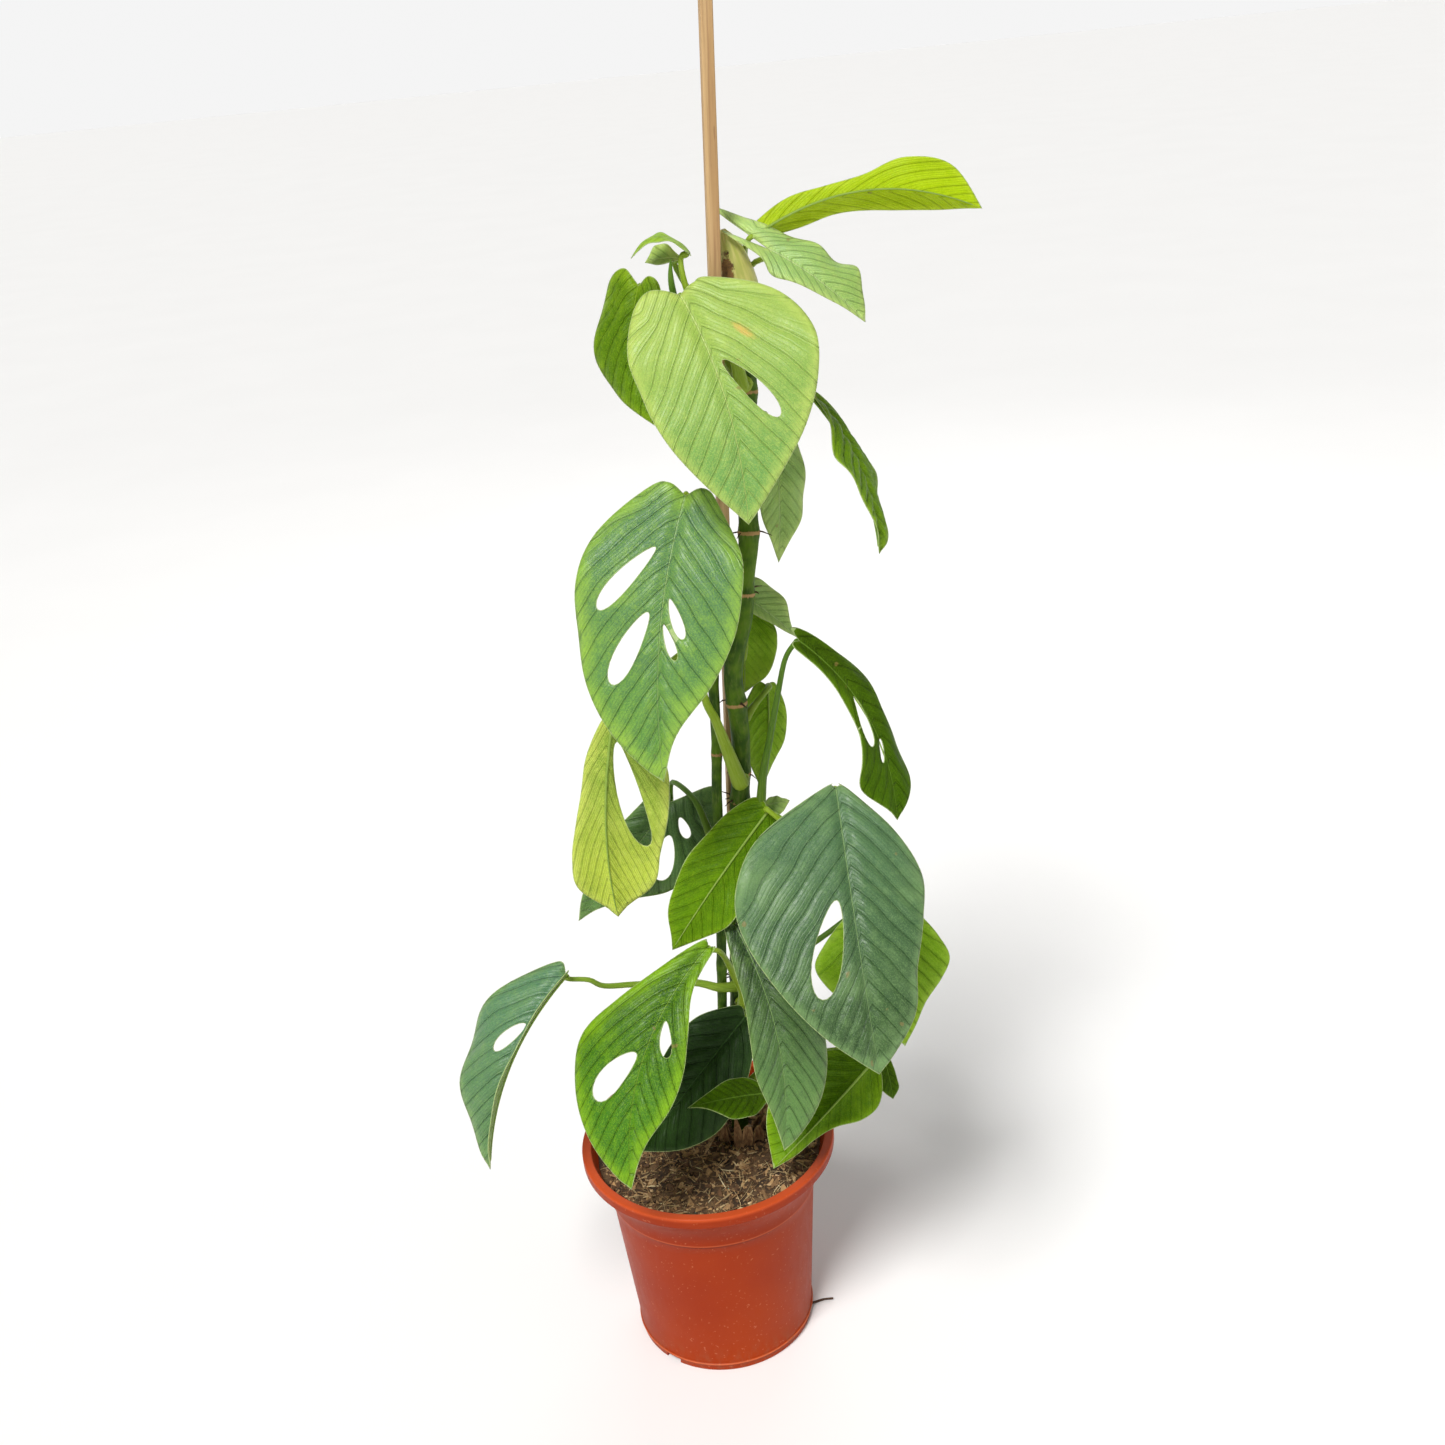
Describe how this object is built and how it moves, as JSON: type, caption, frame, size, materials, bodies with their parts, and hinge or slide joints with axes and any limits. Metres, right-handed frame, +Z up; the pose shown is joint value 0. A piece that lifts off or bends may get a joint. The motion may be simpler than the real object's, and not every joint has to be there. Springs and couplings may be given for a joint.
{
  "type": "potted monstera plant",
  "caption": "Climbing monstera with pierced heart-shaped leaves on a wooden stake, standing in a round tapered nursery pot of bark mix.",
  "frame": {"origin": "centre of the flat underside of the pot", "axes": "+Z up along the plant and its stake, -Z out of the pot's underside, -Y towards the side that most leaves face"},
  "size_m": [0.3973, 0.2474, 0.9602],
  "materials": {
    "pot_plastic": "terracotta-coloured moulded plastic, satin, lightly scuffed",
    "bark_mix": "dry bark chips, coconut fibre and straw",
    "stake_wood": "raw sawn softwood with straight grain",
    "stem_skin": "dark green living stem with tan node rings",
    "leaf_skin": "leathery leaf, satin above and matt below, with sunken veins",
    "stalk_skin": "smooth light green stalk",
    "sheath_skin": "pale cream-green sheath with a corky scar",
    "root_skin": "dark dry root"
  },
  "bodies": {
    "root": {"growing_tip": "sheath_skin", "leaf_back_lower": "leaf_skin", "leaf_back_middle": "leaf_skin", "leaf_back_upper": "leaf_skin", "leaf_far_left": "leaf_skin", "leaf_front_left": "leaf_skin", "leaf_high_back": "leaf_skin", "leaf_high_right": "leaf_skin", "leaf_low_centre": "leaf_skin", "leaf_low_dark": "leaf_skin", "leaf_low_front": "leaf_skin", "leaf_low_inner": "leaf_skin", "leaf_low_right": "leaf_skin", "leaf_low_small": "leaf_skin", "leaf_low_small_right": "leaf_skin", "leaf_low_under": "leaf_skin", "leaf_middle_dark": "leaf_skin", "leaf_middle_hanging": "leaf_skin", "leaf_middle_left": "leaf_skin", "leaf_middle_right": "leaf_skin", "leaf_middle_round": "leaf_skin", "leaf_top_front": "leaf_skin", "leaf_top_inner": "leaf_skin", "leaf_top_left": "leaf_skin", "leaf_top_right": "leaf_skin", "leaf_young_arched": "leaf_skin", "leaf_young_curled": "leaf_skin", "main_stem": "stem_skin", "pot": "pot_plastic", "second_stem": "stem_skin", "side_root": "root_skin", "soil": "bark_mix", "stake": "stake_wood", "stalk_back_lower": "stalk_skin", "stalk_back_middle": "stalk_skin", "stalk_back_upper": "stalk_skin", "stalk_far_left": "stalk_skin", "stalk_front_left": "stalk_skin", "stalk_high_back": "stalk_skin", "stalk_high_right": "stalk_skin", "stalk_low_centre": "stalk_skin", "stalk_low_dark": "stalk_skin", "stalk_low_front": "stalk_skin", "stalk_low_inner": "stalk_skin", "stalk_low_right": "stalk_skin", "stalk_low_small": "stalk_skin", "stalk_low_small_right": "stalk_skin", "stalk_low_under": "stalk_skin", "stalk_middle_dark": "stalk_skin", "stalk_middle_hanging": "stalk_skin", "stalk_middle_left": "stalk_skin", "stalk_middle_right": "stalk_skin", "stalk_middle_round": "stalk_skin", "stalk_top_front": "stalk_skin", "stalk_top_inner": "stalk_skin", "stalk_top_left": "stalk_skin", "stalk_top_right": "stalk_skin", "stalk_young_arched": "stalk_skin", "stalk_young_curled": "stalk_skin"}
  },
  "joints": []
}
